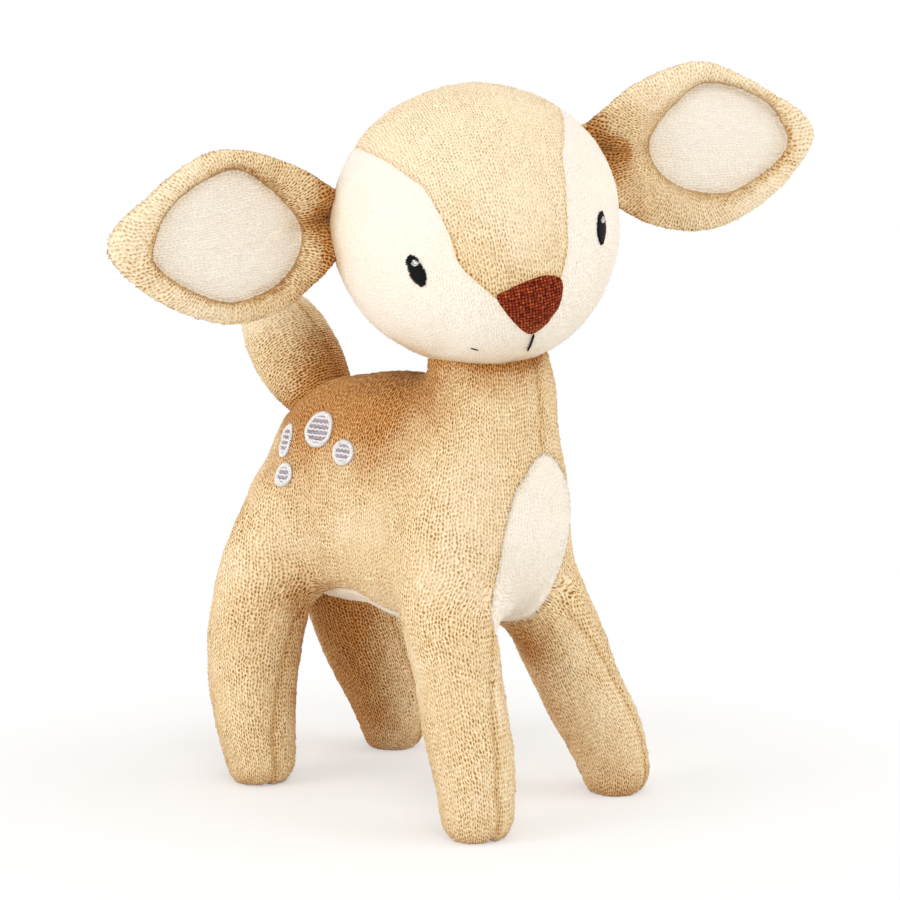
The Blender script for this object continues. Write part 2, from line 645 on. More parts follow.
def surface(field, low, high):
    """Mesh where a field crosses zero with even quads, smoothed."""
    counts = [math.ceil((high[k] - low[k]) / PITCH) + 1 for k in range(3)]
    axes = [low[k] + PITCH * np.arange(counts[k]) for k in range(3)]
    grid = np.stack(np.meshgrid(*axes, indexing="ij"), axis=-1).reshape(-1, 3)
    values = field(grid).reshape(counts)
    cells = np.indices([count - 1 for count in counts]).transpose(1, 2, 3, 0)
    total = np.zeros(cells.shape)
    found = np.zeros(cells.shape[:3])
    crossings = []
    for axis in range(3):
        ahead = np.roll(values, -1, axis)
        inner = range(counts[axis] - 1)
        cross = np.take((values < 0) != (ahead < 0), inner, axis)
        share = np.take(values / np.where(values == ahead, 1.0, values - ahead), inner, axis)
        crossings.append(cross)
        others = [k for k in range(3) if k != axis]
        for corner in product((0, 1), repeat=2):
            window = [slice(None)] * 3
            place = cells.astype(float)
            for k, shift in zip(others, corner):
                window[k] = slice(shift, counts[k] - 1 + shift)
                place[..., k] += shift
            hit = cross[tuple(window)]
            place[..., axis] += share[tuple(window)]
            total += place * hit[..., None]
            found += hit
    mixed = found > 0
    index = np.full(mixed.shape, -1)
    index[mixed] = np.arange(mixed.sum())
    points = total[mixed] / found[mixed][:, None] * PITCH + np.array(low)
    quads = []
    for axis in range(3):
        u, v = (axis + 1) % 3, (axis + 2) % 3
        rows = np.argwhere(crossings[axis])
        for k in (u, v):
            rows = rows[(rows[:, k] > 0) & (rows[:, k] < counts[k] - 1)]
        corners = []
        for i, j in ((0, 0), (1, 0), (1, 1), (0, 1)):
            at = rows.copy()
            at[:, u] -= i
            at[:, v] -= j
            corners.append(index[tuple(at.T)])
        quad = np.stack(corners, axis=1)
        inward = values[tuple(rows.T)] >= 0
        quad[inward] = quad[inward][:, ::-1]
        quads.append(quad)
    quads = np.concatenate(quads)
    start, end = edges_of(quads).T
    shares = np.bincount(start, minlength=len(points))[:, None]
    for _ in range(SETTLE_ROUNDS):
        points = (points + gather(start, points[end], len(points)) / shares) / 2
        points = settle(points, field)
    return points, quads


def slopes(field, points, values):
    """How fast a field rises along each axis at the points, where its values are known."""
    shifts = np.eye(points.shape[1]) * SLOPE_STEP
    return np.stack([(field(points + shift) - values) / SLOPE_STEP for shift in shifts], axis=1)


def settle(points, field):
    """Move points onto the field's zero along its slope."""
    values = field(points)
    slope = slopes(field, points, values)
    steep = np.maximum((slope ** 2).sum(axis=1), 0.1)
    return points - np.clip(values / steep, -1.0, 1.0)[:, None] * slope


def subdivide(points, quads):
    """Refine quads smoothly and return points and triangles."""
    mesh = mesh_from(points, quads)
    holder = bpy.data.objects.new("skin", mesh)
    bpy.context.collection.objects.link(holder)
    smoother = holder.modifiers.new("subdivide", "SUBSURF")
    smoother.levels = SUBDIVISIONS
    seen = holder.evaluated_get(bpy.context.evaluated_depsgraph_get()).to_mesh()
    refined = np.empty(len(seen.vertices) * 3)
    seen.vertices.foreach_get("co", refined)
    loops = np.empty(len(seen.loops), int)
    seen.loops.foreach_get("vertex_index", loops)
    loops = loops.reshape(-1, 4)
    bpy.data.objects.remove(holder, do_unlink=True)
    bpy.data.meshes.remove(mesh)
    return refined.reshape(-1, 3), np.concatenate((loops[:, (0, 1, 2)], loops[:, (0, 2, 3)]))


def mesh_from(points, faces):
    """Mesh data with points and equal-sided faces, in the units given."""
    mesh = bpy.data.meshes.new("skin")
    count, sides = faces.shape
    mesh.vertices.add(len(points))
    mesh.vertices.foreach_set("co", np.ascontiguousarray(points, np.float32).ravel())
    mesh.loops.add(count * sides)
    mesh.loops.foreach_set("vertex_index", np.ascontiguousarray(faces, np.int32).ravel())
    mesh.polygons.add(count)
    mesh.polygons.foreach_set("loop_start", np.arange(count, dtype=np.int32) * sides)
    mesh.update(calc_edges=True)
    return mesh


def add_piece(name, points, triangles, values, material, normals=None):
    """Add one piece from points in the fawn's frame; values are per-point attributes."""
    mesh = mesh_from((points + OFFSET) * MM, triangles)
    mesh.name = name
    mesh.shade_smooth()
    for key, data in values.items():
        kind, field = ("FLOAT_VECTOR", "vector") if data.ndim == 2 else ("FLOAT", "value")
        mesh.attributes.new(key, kind, "POINT").data.foreach_set(field, data.astype(np.float32).ravel())
    mesh.validate()
    if normals is not None:
        mesh.normals_split_custom_set_from_vertices(normals.astype(np.float32))
    mesh.materials.append(material)
    piece = bpy.data.objects.new(name, mesh)
    bpy.context.collection.objects.link(piece)
    return piece


def joined(parts):
    """Parts of points, triangles and any data per point, joined into one such part."""
    starts = np.cumsum([0] + [len(part[0]) for part in parts])
    points, faces, *others = (list(column) for column in zip(*parts))
    faces = [found + start for found, start in zip(faces, starts)]
    return [np.concatenate(column) for column in (points, faces, *others)]


def finish_of(name):
    """The material slot of a panel."""
    if name == "nose_patch":
        return "russet_weave"
    return "cream_pile" if name in CREAM_PANELS else "sandy_pile"


def add_panels(skin, values, seams, nap, materials):
    """Make each panel a padded piece of its own, with its edges turned in at the seams."""
    normals = skin.normals()
    pieces = {}
    for number, name in enumerate(skin.names):
        used, faces = np.unique(skin.triangles[skin.panels == number], return_inverse=True)
        if not len(used):
            continue
        faces = faces.reshape(-1, 3)
        points, facing = skin.points[used], normals[used]
        edges = edges_of(faces)
        ordered = np.sort(edges, axis=1)
        _, place, count = np.unique(ordered, axis=0, return_index=True, return_counts=True)
        rim = edges[place[count == 1]]
        rim = rim[seams[used][rim].all(axis=1)]
        lip, lips = np.unique(rim, return_inverse=True)
        lips = lips.reshape(-1, 2) + len(points)
        flange = (
            np.stack((rim[:, 1], rim[:, 0], lips[:, 0]), axis=1),
            np.stack((rim[:, 1], lips[:, 0], lips[:, 1]), axis=1),
        )
        roots = np.concatenate((np.arange(len(used)), lip))
        places = np.concatenate((points, points[lip] - facing[lip] * FLANGE))
        parts = [(places, np.concatenate((faces, *flange)), roots, facing[roots])]
        chance = np.random.default_rng(number)
        if name in FRINGED:
            parts.append(lean_tufts(points, faces, rim, facing, chance))
        if name not in BARE:
            parts.append(spread_tufts(points, faces, facing, nap[used], chance))
        hair = np.repeat([index > 0 for index in range(len(parts))], [len(part[0]) for part in parts])
        points, faces, roots, facing = joined(parts)
        panel_values = {key: data[used][roots] for key, data in values.items()}
        panel_values["seam"][hair] *= TUFT_SEAM_SHARE
        panel_values["hair"] = hair.astype(float)
        slot = finish_of(name)
        piece = add_piece(name, points, faces, panel_values, materials[slot], facing)
        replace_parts(piece, *(node for node in (name, FILLINGS.get(name)) if node))
        pieces[name] = piece
    return pieces


def cones(start, way, droop, normal, roots):
    """Curved tufts, each of seven points: two flat rings of three and a tip."""
    first = unit(np.cross(way, normal + (0.11, 0.23, 0.07)))
    second = unit(np.cross(way, first))
    points, facing = [], []
    for up, fat in TUFT_RINGS:
        for turn in np.arange(3) * math.tau / 3:
            out = first * math.cos(turn) * TUFT_BREADTH + second * math.sin(turn) * TUFT_DEPTH
            points.append(start + way * up + droop * up ** 2 + out * TUFT_RADIUS * fat)
            facing.append(unit(out * TUFT_SHADING + normal))
    points.append(start + way + droop)
    facing.append(unit(unit(way) * TUFT_SHADING + normal))
    corners = np.arange(len(start))[:, None, None] * len(points) + TUFT_FACES
    points, facing = (np.stack(rows, axis=1).reshape(-1, 3) for rows in (points, facing))
    return points, corners.reshape(-1, 3), np.repeat(roots, len(points) // max(len(start), 1)), facing


def lean_tufts(points, faces, rim, normals, chance):
    """Tufts rooted beside the seam edges that lean across them."""
    beside = faces[np.isin(faces, rim).any(axis=1)]
    centres = points[beside].mean(axis=1)
    middle = sum(gather(corner, centres, len(points)) for corner in beside.T)
    count = np.bincount(beside.ravel(), minlength=len(points))
    run = points[rim[:, 1]] - points[rim[:, 0]]
    edge = np.repeat(np.arange(len(rim)), chance.poisson(np.linalg.norm(run, axis=1) / FRINGE_SPACING))
    each = (len(edge), 1)
    roots = rim[edge, 0]
    normal, along = normals[roots], unit(run[edge])
    inward = middle[roots] / np.maximum(count[roots], 1)[:, None] - points[roots]
    inward = unit(without(without(inward, normal), along))
    start = points[roots] + run[edge] * chance.random(each)
    start += inward * chance.uniform(0.1, FRINGE_SETBACK, each)
    way = normal * 0.4 - inward * chance.uniform(0.3, 1.0, each)
    way = unit(way + along * chance.uniform(-0.5, 0.5, each))
    reach = chance.uniform(*FRINGE_LENGTHS, each)
    return cones(start, way * reach, -inward * 0.35 * reach, normal, roots)


def spread_tufts(points, faces, normals, nap, chance):
    """Tufts over the whole panel that lean along the nap."""
    a, b, c = points[faces].transpose(1, 0, 2)
    areas = np.linalg.norm(np.cross(b - a, c - a), axis=1) / 2
    density = min(TUFT_DENSITY, (MOST_FACES - len(faces)) / len(TUFT_FACES) / areas.sum())
    chosen = np.repeat(np.arange(len(faces)), chance.poisson(areas * density))
    each = (len(chosen), 1)
    u, v = chance.random(each), chance.random(each)
    over = u + v > 1
    u, v = np.where(over, 1 - u, u), np.where(over, 1 - v, v)
    start = a[chosen] * (1 - u - v) + b[chosen] * u + c[chosen] * v
    roots = faces[chosen, 0]
    normal = normals[roots]
    stray = chance.normal(0.0, TUFT_STRAY, (len(chosen), 3))
    way = unit(normal * TUFT_RISE + unit(without(nap[roots], normal)) * TUFT_LEAN + stray)
    reach = chance.uniform(*TUFT_LENGTHS, each)
    return cones(start - normal * TUFT_SINK, way * reach, -normal * TUFT_DROOP * reach, normal, roots)


def dress(form, skin, shelter, pile, seams, lines=()):
    """Draw the skin in at its seams, puff it between them and raise its pile."""
    distance = skin.seam_distance(seams, lines)
    normals = skin.normals()
    height = -SEAM_DEPTHS[form] * np.exp(-(distance / SEAM_WIDTH) ** 2)
    height += PUFF_HEIGHTS[form] * (0.5 - np.exp(-(distance / PUFF_REACH) ** 2))
    for seed, (size, swing) in enumerate(LUMP_SIZES, 1):
        height += swing * lattice_noise(skin.points, size, seed) * smooth_step(0.0, 3.0, distance)
    tuft = np.zeros(len(skin.points))
    for seed, (size, swing) in enumerate(TUFT_SIZES, 5):
        tuft += swing * lattice_noise(skin.points, size, seed)
    height += tuft * np.where(skin.touched(CREAM_PANELS), CREAM_TUFT_SHARE, 1.0)
    shade = shelter.shade(skin.points, normals)
    for centre, reach, amount in NAP_PATCHES:
        mirrored = np.abs(skin.points[:, 0]) * math.copysign(1.0, centre[0])
        away = np.hypot(mirrored - centre[0], np.linalg.norm(skin.points[:, 1:] - centre[1:], axis=1))
        shade += amount * np.exp(-(away / reach) ** 2)
    skin.points = skin.points + normals * height[:, None]
    return {
        "pile": pile,
        "shade": shade,
        "seam": np.exp(-(distance / (SEAM_WIDTH * 1.3)) ** 2),
        "tuft": tuft / sum(swing for _, swing in TUFT_SIZES),
    }


class Shelter:
    """How shut in places are by the whole fawn and the floor: 0 open, 1 deep."""

    def __init__(self, meshes):
        points, faces = [], []
        for places, corners in meshes:
            faces += (corners + len(points)).tolist()
            points += places.tolist()
        self.tree = BVHTree.FromPolygons(points, faces)
        count = np.arange(SHADE_RAYS) + 0.5
        flat = np.sqrt(count / SHADE_RAYS)
        turn = count * math.pi * (3 - math.sqrt(5))
        self.ways = np.stack((flat * np.cos(turn), flat * np.sin(turn), np.sqrt(1 - flat ** 2)), axis=1)

    def shade(self, points, normals):
        """Try one place in each cell of a coarse grid and blend between the nearest ones."""
        cells = np.floor(points / SHADE_PITCH).astype(np.int64)
        _, tried = np.unique(cells, axis=0, return_index=True)
        near = KDTree(len(tried))
        values = []
        for number, at in enumerate(tried):
            values.append(self.one(points[at], normals[at]))
            near.insert(points[at], number)
        near.balance()
        result = []
        for place in points.tolist():
            total = weight = 0.0
            for _, at, distance in near.find_n(place, 4):
                part = 1 / (distance + 0.4) ** 2
                total += part * values[at]
                weight += part
            result.append(total / weight)
        return np.array(result)

    def one(self, place, normal):
        """The share of rays over a place that meet something, nearer things counting more."""
        first = unit(np.cross(normal, np.eye(3)[np.argmin(np.abs(normal))]))
        ways = self.ways @ np.stack((first, np.cross(normal, first), normal))
        start = Vector(place + normal * SHADE_START)
        total = 0.0
        for way in ways.tolist():
            hit = self.tree.ray_cast(start, Vector(way), SHADE_REACH)[3]
            part = 0.0 if hit is None else 1 - (hit / SHADE_REACH) ** 2
            if way[2] < -0.01:
                drop = min(-start[2] / way[2], SHADE_REACH)
                part = max(part, FLOOR_SHADE * (1 - (drop / SHADE_REACH) ** 2))
            total += part
        return total / len(ways)


class Signal:
    """A node's output: arithmetic with it adds nodes to its tree."""

    def __init__(self, shader, socket):
        self.shader = shader
        self.socket = socket

    def __add__(self, other):
        return self.shader.math("ADD", self, other)

    def __sub__(self, other):
        return self.shader.math("SUBTRACT", self, other)

    def __mul__(self, other):
        return self.shader.math("MULTIPLY", self, other)

    def __truediv__(self, other):
        return self.shader.math("DIVIDE", self, other)

    def clamped(self):
        return self.shader.math("ADD", self, 0.0, clamp=True)

    def ramp(self, low, high, to_low=0.0, to_high=1.0):
        """A smooth step: to_low where this is low, to_high where it is high."""
        values = (self, low, high, to_low, to_high)
        return self.shader.node("MapRange", values, interpolation_type="SMOOTHSTEP")


class Shader:
    """Builds the node tree of a material or a world."""

    def __init__(self, owner):
        owner.use_nodes = True
        self.owner = owner
        self.tree = owner.node_tree
        self.surface = self.tree.nodes.get("Principled BSDF")

    def put(self, socket, value):
        """Join a signal to a socket, or set the socket."""
        if isinstance(value, Signal):
            self.tree.links.new(value.socket, socket)
        elif socket.type == "RGBA":
            socket.default_value = (*value, 1.0)
        else:
            socket.default_value = value

    def node(self, kind, inputs=(), output=0, **settings):
        """Add a node, feed its inputs by place or by name, and return one output."""
        made = self.tree.nodes.new("ShaderNode" + kind)
        for key, value in settings.items():
            setattr(made, key, value)
        for key, value in inputs.items() if isinstance(inputs, dict) else enumerate(inputs):
            self.put(made.inputs[key], value)
        return Signal(self, made.outputs[output])

    def math(self, operation, *values, clamp=False):
        return self.node("Math", values, operation=operation, use_clamp=clamp)

    def attribute(self, name, output="Fac"):
        return self.node("Attribute", output=output, attribute_name=name)

    def place(self):
        return self.node("TexCoord", output="Object")

    def pile(self):
        """How far across the wales of the cloth a place lies, and how far along them."""
        vector = self.attribute("pile", "Vector")
        return [self.node("SeparateXYZ", (vector,), k) for k in range(2)]

    def noise(self, vector, scale, detail=2.0, roughness=0.5):
        inputs = {"Vector": vector, "Scale": scale, "Detail": detail, "Roughness": roughness}
        return self.node("TexNoise", inputs, "Fac")

    def scatter(self, x, y):
        """A number from 0 to 1 that differs for each whole x and y."""
        return self.node("TexWhiteNoise", {"Vector": self.combine(x, y)}, "Value", noise_dimensions="2D")

    def combine(self, x, y):
        return self.node("CombineXYZ", (x, y))

    def length(self, vector):
        return self.node("VectorMath", (vector,), "Value", operation="LENGTH")

    def mix(self, factor, first, second, blend="MIX"):
        return self.node("Mix", {0: factor, 6: first, 7: second}, 2, data_type="RGBA", blend_type=blend)

    def cover(self, colour, constants):
        """Give the surface its colour and its constant values."""
        for name, value in ({"Base Color": colour} | constants).items():
            self.put(self.surface.inputs[name], value)

    def bump(self, height, distance, strength):
        inputs = {"Strength": strength, "Distance": distance, "Height": height}
        self.put(self.surface.inputs["Normal"], self.node("Bump", inputs))

    def show_directly(self, output, share, usual, seen):
        """Show another shader to rays from the camera, or passed on by glossy or clear matter."""
        kinds = ("Camera", "Glossy", "Transmission")
        rays = [self.node("LightPath", output=f"Is {kind} Ray") for kind in kinds]
        direct = reduce(lambda first, second: self.math("MAXIMUM", first, second), rays)
        both = self.node("MixShader", (direct * share, usual, seen))
        self.put(self.tree.nodes[output].inputs["Surface"], both)


def pile_material(name, look, contrast):
    """Short knitted pile: crowded tufts with short dark dashes between them, deeper where shut in."""
    shader = Shader(bpy.data.materials.new(name))
    place = shader.place()
    wale, course = shader.pile()
    hair, seam, shade, tuft = (shader.attribute(key) for key in ("hair", "seam", "shade", "tuft"))

    # One dash in each cell of the knit, a little off its place: level is 0 in it and rises round it
    sway = shader.noise(place, 260.0, 1.0) * 1.8 - 0.9
    jitter = shader.noise(place, 800.0, 1.0) * 0.9 - 0.45
    across = wale / WALE_PITCH + sway + jitter
    column = shader.math("ROUND", across)
    along = course / ROW_PITCH + shader.scatter(column, 0.0) + jitter * 0.8
    row = shader.math("ROUND", along)
    lot = shader.scatter(column, row)
    gap = (lot - 0.5) * 0.24 + (across - column)
    step = along - row
    cell = shader.length(shader.combine(gap / DASH_HALF[0], step * step / DASH_HALF[1] ** 2))
    strand = shader.noise(shader.combine(across * 2.6, along * 1.4), 1.0, 1.0)
    level = (strand - 0.5) * 1.6 + cell + hair * 0.5

    # How strongly the dashes show, and the tufts between them
    blotch = shader.noise(place, 60.0).ramp(0.34, 0.62, 0.60, 1.15)
    force = lot.ramp(0.0, 0.60, 0.30, 1.0) * blotch * shade.ramp(0.05, 0.40, 1.0, 1.75) + seam * 0.5
    dark = level.ramp(1.30, 0.30) * force
    halo = level.ramp(2.70, 0.70) * force
    bright = level.ramp(1.30, 2.60)
    fibre = shader.noise(place, 2300.0, 2.0, 0.65)
    light = bright * 0.5 + strand.ramp(0.34, 0.66, -0.30, 0.40) + (fibre - 0.5) * 0.7 + tuft * 0.20
    shade = shade + shader.noise(place, 42.0).ramp(0.38, 0.66, -0.06, 0.10)
    fade = shade.ramp(0.10, -0.20)
    left = fade * -0.50 + 1.0

    colour = shader.mix(light.clamped(), look["base"], look["tip"])
    colour = shader.mix(fade * 0.85, colour, look["pale"])
    depth = halo * (0.80 * contrast) + tuft.ramp(-0.10, -0.85) * (0.25 * contrast)
    depth = (depth + seam * (0.45 * contrast)).clamped()
    colour = shader.mix(depth * left, colour, look["halo"])
    colour = shader.mix((dark * left * (0.90 * contrast)).clamped(), colour, look["dash"])
    shut = shade.ramp(0.07, 0.52) * (bright * -0.55 + 1.25)
    tint = shader.mix(shut, PURE_WHITE, look["shut"])
    shader.cover(shader.mix(1.0, colour, tint, "MULTIPLY"), {
        "Roughness": 0.92, "Specular IOR Level": 0.12,
        "Sheen Weight": 0.12, "Sheen Roughness": 0.55, "Sheen Tint": look["tip"],
    })
    shader.bump(fibre * 0.35 + level.ramp(0.3, 2.4, 0.0, 0.5) * 2.2, 0.40 * MM, 0.55)
    return shader.owner


def weave_material(name):
    """Coarse russet cloth: a plain weave with dark gaps and an orange lower tip."""
    shader = Shader(bpy.data.materials.new(name))
    place = shader.place()
    ways = shader.pile()
    wobble = shader.noise(place, 700.0, 1.0) * 0.5 - 0.25
    speck = shader.noise(place, 1050.0, 1.0)
    fibre = shader.noise(place, 2600.0, 2.0, 0.6)
    waves = [shader.math("SINE", (way / WEAVE_PITCH + wobble) * math.pi) for way in ways]
    knot = shader.math("ABSOLUTE", waves[0]) * shader.math("ABSOLUTE", waves[1])
    colour = shader.mix(fibre * 0.55, RUSSET, RUSSET_TIP)
    for factor, tone in (
        (ways[1].ramp(-24.0, -29.5) * 0.75, RUSSET_TIP),
        (speck.ramp(0.54, 0.66, 0.0, 0.80), RUSSET_TIP),
        (speck.ramp(0.47, 0.34, 0.0, 0.80), RUSSET_DEEP),
        (knot.ramp(0.55, 0.12, 0.0, 0.90), RUSSET_DEEP),
    ):
        colour = shader.mix(factor, colour, tone)
    shader.cover(colour, {
        "Roughness": 0.85, "Specular IOR Level": 0.1, "Sheen Weight": 0.03, "Sheen Tint": RUSSET_TIP,
    })
    shader.bump(knot + fibre * 0.4, 0.35 * MM, 0.9)
    return shader.owner


def thread_material(name, colour, roughness, sheen):
    """Embroidery thread with fine strands."""
    shader = Shader(bpy.data.materials.new(name))
    strand = shader.noise(shader.place(), 3200.0, 2.0, 0.6)
    dark = tuple(value * 0.55 for value in colour)
    shader.cover(shader.mix(strand.ramp(0.3, 0.6), dark, colour), {
        "Roughness": roughness, "Sheen Weight": sheen, "Specular IOR Level": 0.15,
    })
    shader.bump(strand, 0.12 * MM, 0.5)
    return shader.owner


def knit(across, along):
    """Places on the knitted cloth, across and along its wales, as vectors."""
    return np.stack((across, along, np.zeros(len(along))), axis=1)


def body_pile(points):
    """Where each point lies on the cloth: round the body or a leg, and up."""
    front, rear, turn_radius = BODY_WRAP
    middle = np.clip(points[:, 1], front, rear)
    across = middle + turn_radius * np.arctan2(points[:, 1] - middle, np.abs(points[:, 0]) + 1e-6)
    for leg in LEGS.values():
        axis = leg_axis(leg, points[:, 2])
        out = leg["side"] * (points[:, 0] - axis[:, 0])
        back = points[:, 1] - axis[:, 1]
        weight = smooth_step(80.0, 56.0, points[:, 2]) * smooth_step(27.0, 21.0, np.hypot(out, back))
        angle = np.arctan2(back, out)
        folded = np.where(np.abs(angle) > math.pi / 2, np.sign(angle) * math.pi - angle, angle)
        hip = leg_axis(leg, LEG_PILE_TOP)[1]
        across = across * (1 - weight) + (hip + LEG_PILE_RADIUS * folded) * weight
    return knit(across, points[:, 2])


def plane(point, normal):
    """A field that is positive on the side the normal points to."""
    return lambda points: (points - point) @ np.array(normal)


def leg_cut(leg):
    """Where a leg leaves the body: a point on its axis and the way down it."""
    level = leg["pivot"][2] - LEG_CUT_DROPS[leg["end"]]
    point = leg_axis(leg, level)
    return point, unit(leg_axis(leg, level - LEG_BEND_LENGTH) - point)


def leg_region(leg, point, way):
    """Positive on one leg below its cut."""
    back = -1 if leg["end"] == "front" else 1

    def field(points):
        sides = (leg["side"] * points[:, 0], back * (points[:, 1] - LEG_MIDDLE))
        return np.minimum((points - point) @ way, np.minimum(*sides))
    return field


def leg_side(leg):
    """Positive on the outer side of a leg, past the seams down its front and back."""
    def field(points):
        axis = leg_axis(leg, points[:, 2])
        front = smooth_step(4.0, -4.0, points[:, 1] - axis[:, 1])
        offset = np.interp(points[:, 2], *LEG_SEAM_OFFSETS[leg["end"]])
        return leg["side"] * (points[:, 0] - axis[:, 0]) - offset * front
    return field


def bib_region(points):
    """Positive on the chest bib."""
    local = points - (0.0, *BIB_CENTRE)
    height = local[:, 2] * math.cos(BIB_TILT) - local[:, 1] * math.sin(BIB_TILT)
    inside = outline_distance(np.stack((local[:, 0], height), axis=1), BIB_CURVE)
    return np.minimum(inside, BIB_DEEPEST - points[:, 1])


def belly_region(points):
    """Positive on the belly panel."""
    along = (points[:, 1] - BELLY_CENTRE[0]) / BELLY_HALF_LENGTH
    across = points[:, 0] / BELLY_HALF_WIDTH
    inside = (1 - np.hypot(along, across)) * BELLY_HALF_WIDTH
    return np.minimum(inside, BELLY_TOP - points[:, 2])


def blend(pieces, body, end_body, start, end):
    """Bend pieces from one body to another between two places in the fawn's frame."""
    start, end = (tuple((place + OFFSET) * MM) for place in (start, end))
    for piece in pieces:
        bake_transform(piece)
        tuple(start)
        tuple(end)


def add_body(mesh, shelter, materials):
    """The torso, neck and legs: one skin, cut along its seams and where it bends."""
    skin = Skin(*subdivide(*mesh), "body")
    lean = np.array((0.0, -math.sin(NECK_CUT_LEAN), math.cos(NECK_CUT_LEAN)))
    skin.split(plane(NECK_CUT, lean), "body", "torso", "neck")
    skin.split(lambda points: head_field(points) + NECK_REACH, "neck", "hidden", "neck")
    skin.drop("hidden")
    side = plane((0.0, 0.0, 0.0), (1.0, 0.0, 0.0))
    skin.split(side, "neck", "neck_right", "neck_left")
    cloths = {"neck_right": "body_side_right", "neck_left": "body_side_left"}
    bends = {}
    for name, leg in LEGS.items():
        point, way = leg_cut(leg)
        skin.split(leg_region(leg, point, way), "torso", "torso", f"leg_{name}")
        skin.split(leg_side(leg), f"leg_{name}", f"leg_{name}_inner", f"leg_{name}_outer")
        cloths[f"leg_{name}_outer"] = "body_side_right" if leg["side"] < 0 else "body_side_left"
        bends[name] = (point, point + way * LEG_BEND_LENGTH)
    skin.split(bib_region, "torso", "torso", "chest_bib")
    skin.split(belly_region, "torso", "torso", "belly_panel")
    skin.split(side, "torso", "body_side_right", "body_side_left")
    torso = ("body_side_right", "body_side_left", "chest_bib", "belly_panel")
    inner, outer = (skin.touched([f"leg_{name}_{half}" for name in LEGS]) for half in ("inner", "outer"))
    # The inner legs bend out of the torso's cloth, so the cut there isn't sewn
    seams = skin.seam_points(cloths) & ~(inner & ~outer & skin.touched(torso))
    lines = [
        smooth_curve(np.array(SEAM_LINES[leg["end"]]) * (leg["side"], 1, 1), 4) for leg in LEGS.values()
    ]
    values = dress("body", skin, shelter, body_pile(skin.points), seams, lines)
    skin.points[:, 2] = np.maximum(skin.points[:, 2], LOWEST)
    nap = np.tile((0.0, 0.15, -1.0), (len(skin.points), 1))
    panels = add_panels(skin, values, seams, nap, materials)
    for name in LEGS:
        halves = [panels[f"leg_{name}_{half}"] for half in ("outer", "inner")]
        blend(halves, "torso", f"leg_{name}", *bends[name])
    necks = [panels[name] for name in ("neck_right", "neck_left")]
    blend(necks, "torso", "neck", NECK_CUT, NECK_CUT + lean * NECK_BEND_LENGTH)
    for name in torso:
        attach(panels[name], "torso")
    return skin


def add_tail(mesh, shelter, materials):
    """The tail: a fat leaf in two halves."""
    skin = Skin(*subdivide(*mesh), "tail")
    skin.split(lambda points: body_field(points) + TAIL_REACH, "tail", "hidden", "tail")
    skin.drop("hidden")
    skin.split(plane((0.0, 0.0, 0.0), (1.0, 0.0, 0.0)), "tail", "tail_right", "tail_left")
    seams = skin.seam_points({})
    local = skin.points - TAIL_ROOT
    depth = local @ np.array((0.0, -math.sin(TAIL_RISE), math.cos(TAIL_RISE)))
    around = TAIL_PILE_RADIUS * np.arctan2(depth, np.abs(skin.points[:, 0]))
    values = dress("tail", skin, shelter, knit(local @ TAIL_WAY, around), seams)
    values["shade"] -= TAIL_PALE
    panels = add_panels(skin, values, seams, np.tile(TAIL_WAY, (len(skin.points), 1)), materials)
    ends = (TAIL_ROOT + TAIL_WAY * along for along in TAIL_BEND)
    blend(panels.values(), "torso", "tail", *ends)


def nose_region(points):
    local = to_head(points)
    inside = outline_distance(local[:, (0, 2)], NOSE_CURVE)
    return np.minimum(inside, -local[:, 1])


def blaze_region(points):
    """Positive on the sandy wedge between the cheeks."""
    local = to_head(points)
    rows = smooth_curve(BLAZE_ROWS, 4)
    depth, level, spread = BLAZE_LEFT_TUCK
    tuck = np.where(local[:, 0] > 0, depth * np.exp(-((local[:, 2] - level) / spread) ** 2), 0.0)
    return np.interp(local[:, 2], rows[:, 0], rows[:, 1]) - np.abs(local[:, 0]) - tuck


def front_region(points):
    """Positive on the front of the head, before its side seam."""
    local = to_head(points)
    return HEAD_SEAM_BACK + local[:, 2] * math.tan(HEAD_SEAM_LEAN) - local[:, 1]


def add_head(mesh, shelter, materials):
    """The head: the blaze, two cheeks, two back panels and the nose."""
    skin = Skin(*subdivide(*mesh), "head")
    skin.split(front_region, "head", "back", "front")
    skin.split(nose_region, "front", "front", "nose_patch")
    skin.split(blaze_region, "front", "cheek", "forehead_blaze")
    for whole, name in (("cheek", "cheek"), ("back", "head_back")):
        skin.split(lambda points: to_head(points)[:, 0], whole, f"{name}_right", f"{name}_left")
    seams = skin.seam_points({})
    local = to_head(skin.points)
    x, y, z = local.T
    radius = HEAD_RADII.mean()
    blaze, nose = (skin.touched((name,)) for name in ("forehead_blaze", "nose_patch"))
    across = np.where(blaze | nose, x, radius * np.arctan2(x, -y))
    along = np.where(blaze, radius * np.arctan2(z, -y), radius * np.arctan2(z, np.hypot(x, y)))
    pile = knit(across, np.where(nose, z, along))
    raised = NOSE_RAISE * (1 - np.exp(-np.maximum(nose_region(skin.points), 0.0) / 1.5))
    normals = skin.normals()
    values = dress("head", skin, shelter, pile, seams)
    values["shade"] -= HEAD_PALE * smooth_step(10.0, -20.0, y) * smooth_step(-25.0, 25.0, z)
    values["shade"] -= HEAD_PALE * smooth_step(12.0, 40.0, z)
    skin.points = skin.points + normals * raised[:, None]
    nap = skin.points - from_head(HEAD_NAP_START)
    for piece in add_panels(skin, values, seams, nap, materials).values():
        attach(piece, "head")
    return skin


